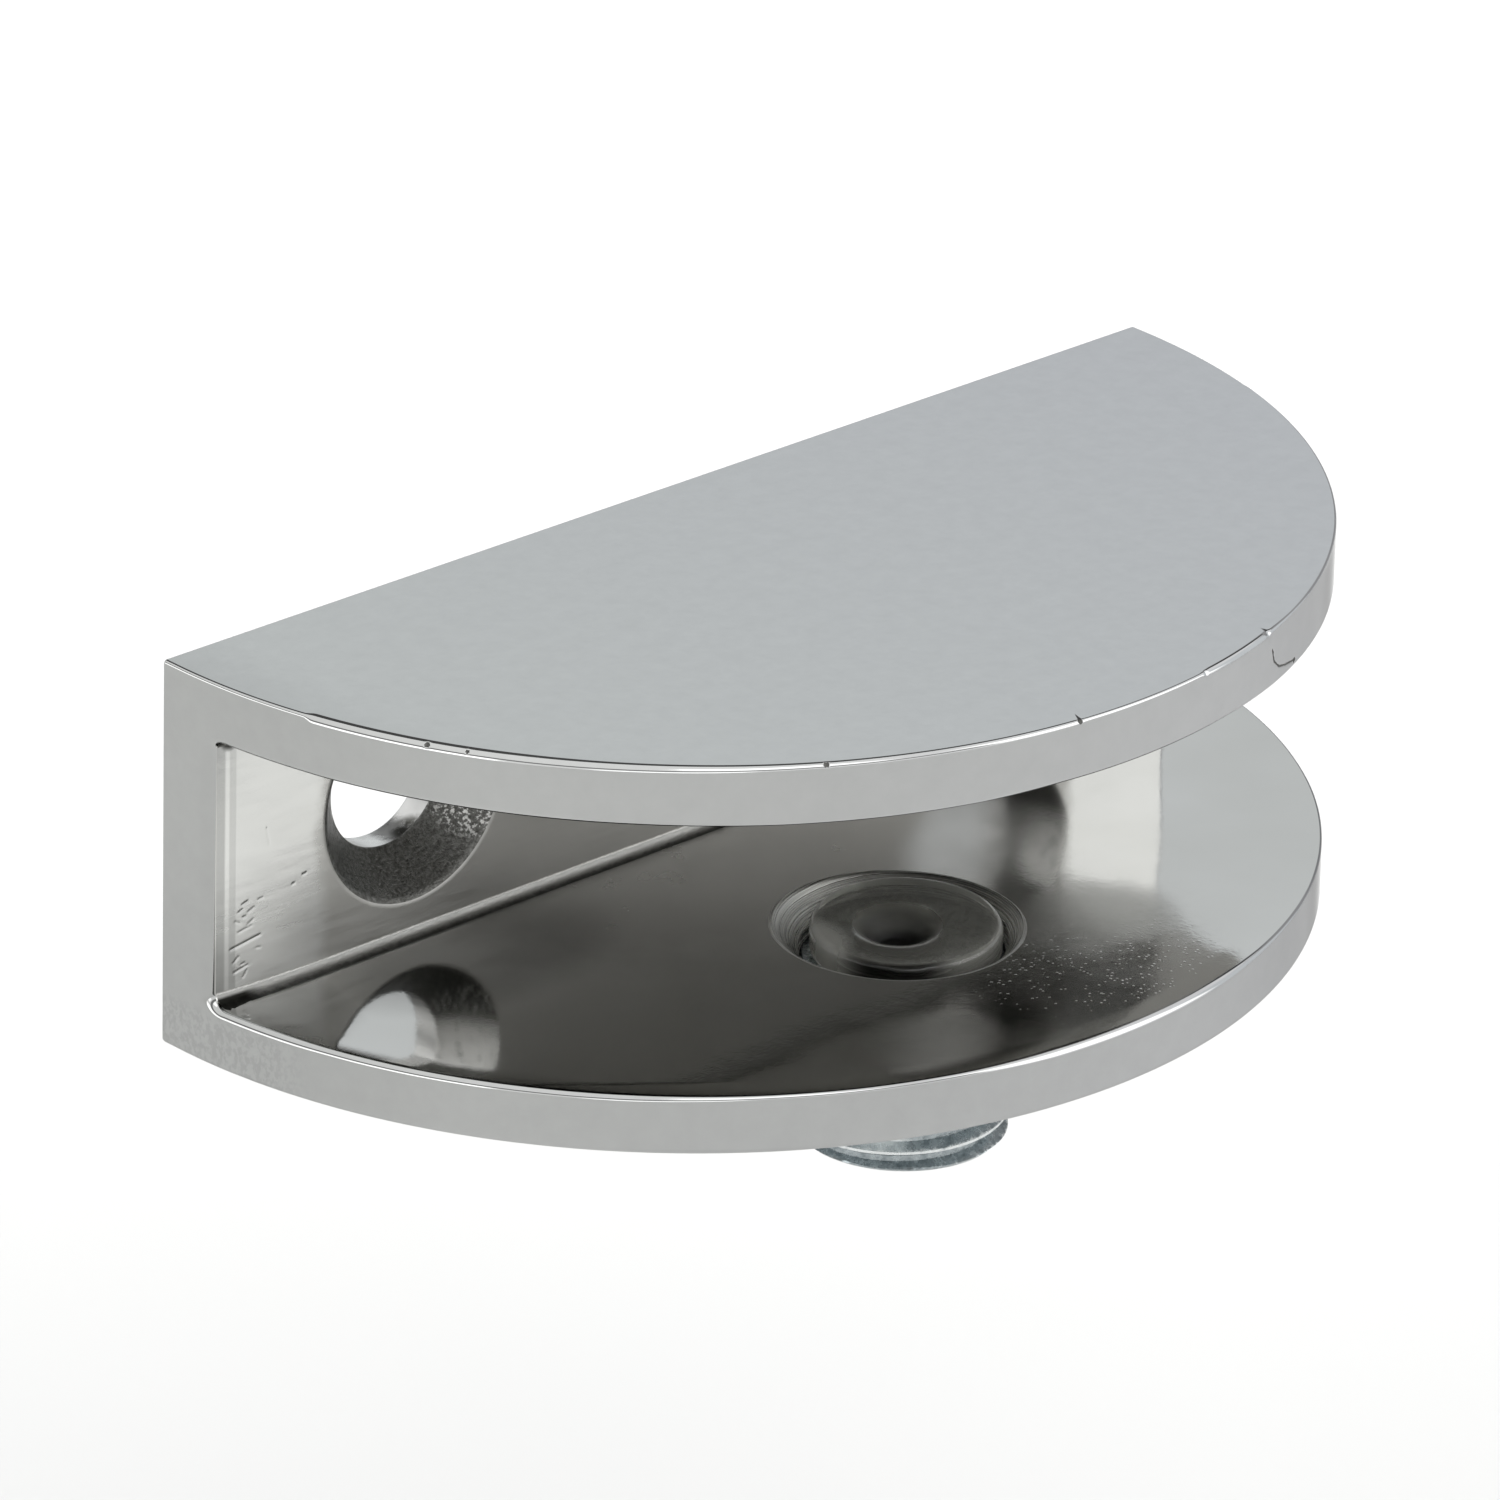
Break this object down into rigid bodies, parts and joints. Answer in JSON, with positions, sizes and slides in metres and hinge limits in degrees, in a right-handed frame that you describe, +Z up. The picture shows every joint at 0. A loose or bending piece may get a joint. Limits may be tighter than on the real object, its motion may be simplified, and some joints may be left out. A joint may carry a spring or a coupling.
{
  "type": "glass shelf clamp",
  "caption": "Half-round chrome wall clamp that holds a glass shelf in a slot between two plates, pressed from below by a padded set screw.",
  "frame": {"origin": "midway between the axes of the two wall-screw holes, on the wall face", "axes": "+X along the width of the wall face, +Y into the wall, +Z up; the half-round front faces -Y"},
  "size_m": [0.06, 0.031, 0.0262],
  "materials": {
    "chrome_casting": "polished and chrome plated zinc casting",
    "zinc_steel": "bright blue zinc plating",
    "clear_plastic": "clear grey soft plastic"
  },
  "bodies": {
    "clamp": {"clamp_body": "chrome_casting"},
    "pad": {"screw_pad": "clear_plastic"},
    "screw": {"clamp_screw": "zinc_steel"}
  },
  "joints": [
    {"name": "screw_travel", "type": "slide", "parent": "clamp", "child": "pad", "axis": [0, 0, 1], "range_m": [-0.0006, 0.0065]},
    {"name": "screw_turn", "type": "hinge", "parent": "pad", "child": "screw", "pos_m": [0, -0.0167, -0.013], "axis": [0, 0, 1], "range_deg": [-216, 2340]}
  ],
  "couplings": [
    {"joint": "screw_turn", "follows": "screw_travel", "rad_per_m": 6283.2}
  ]
}
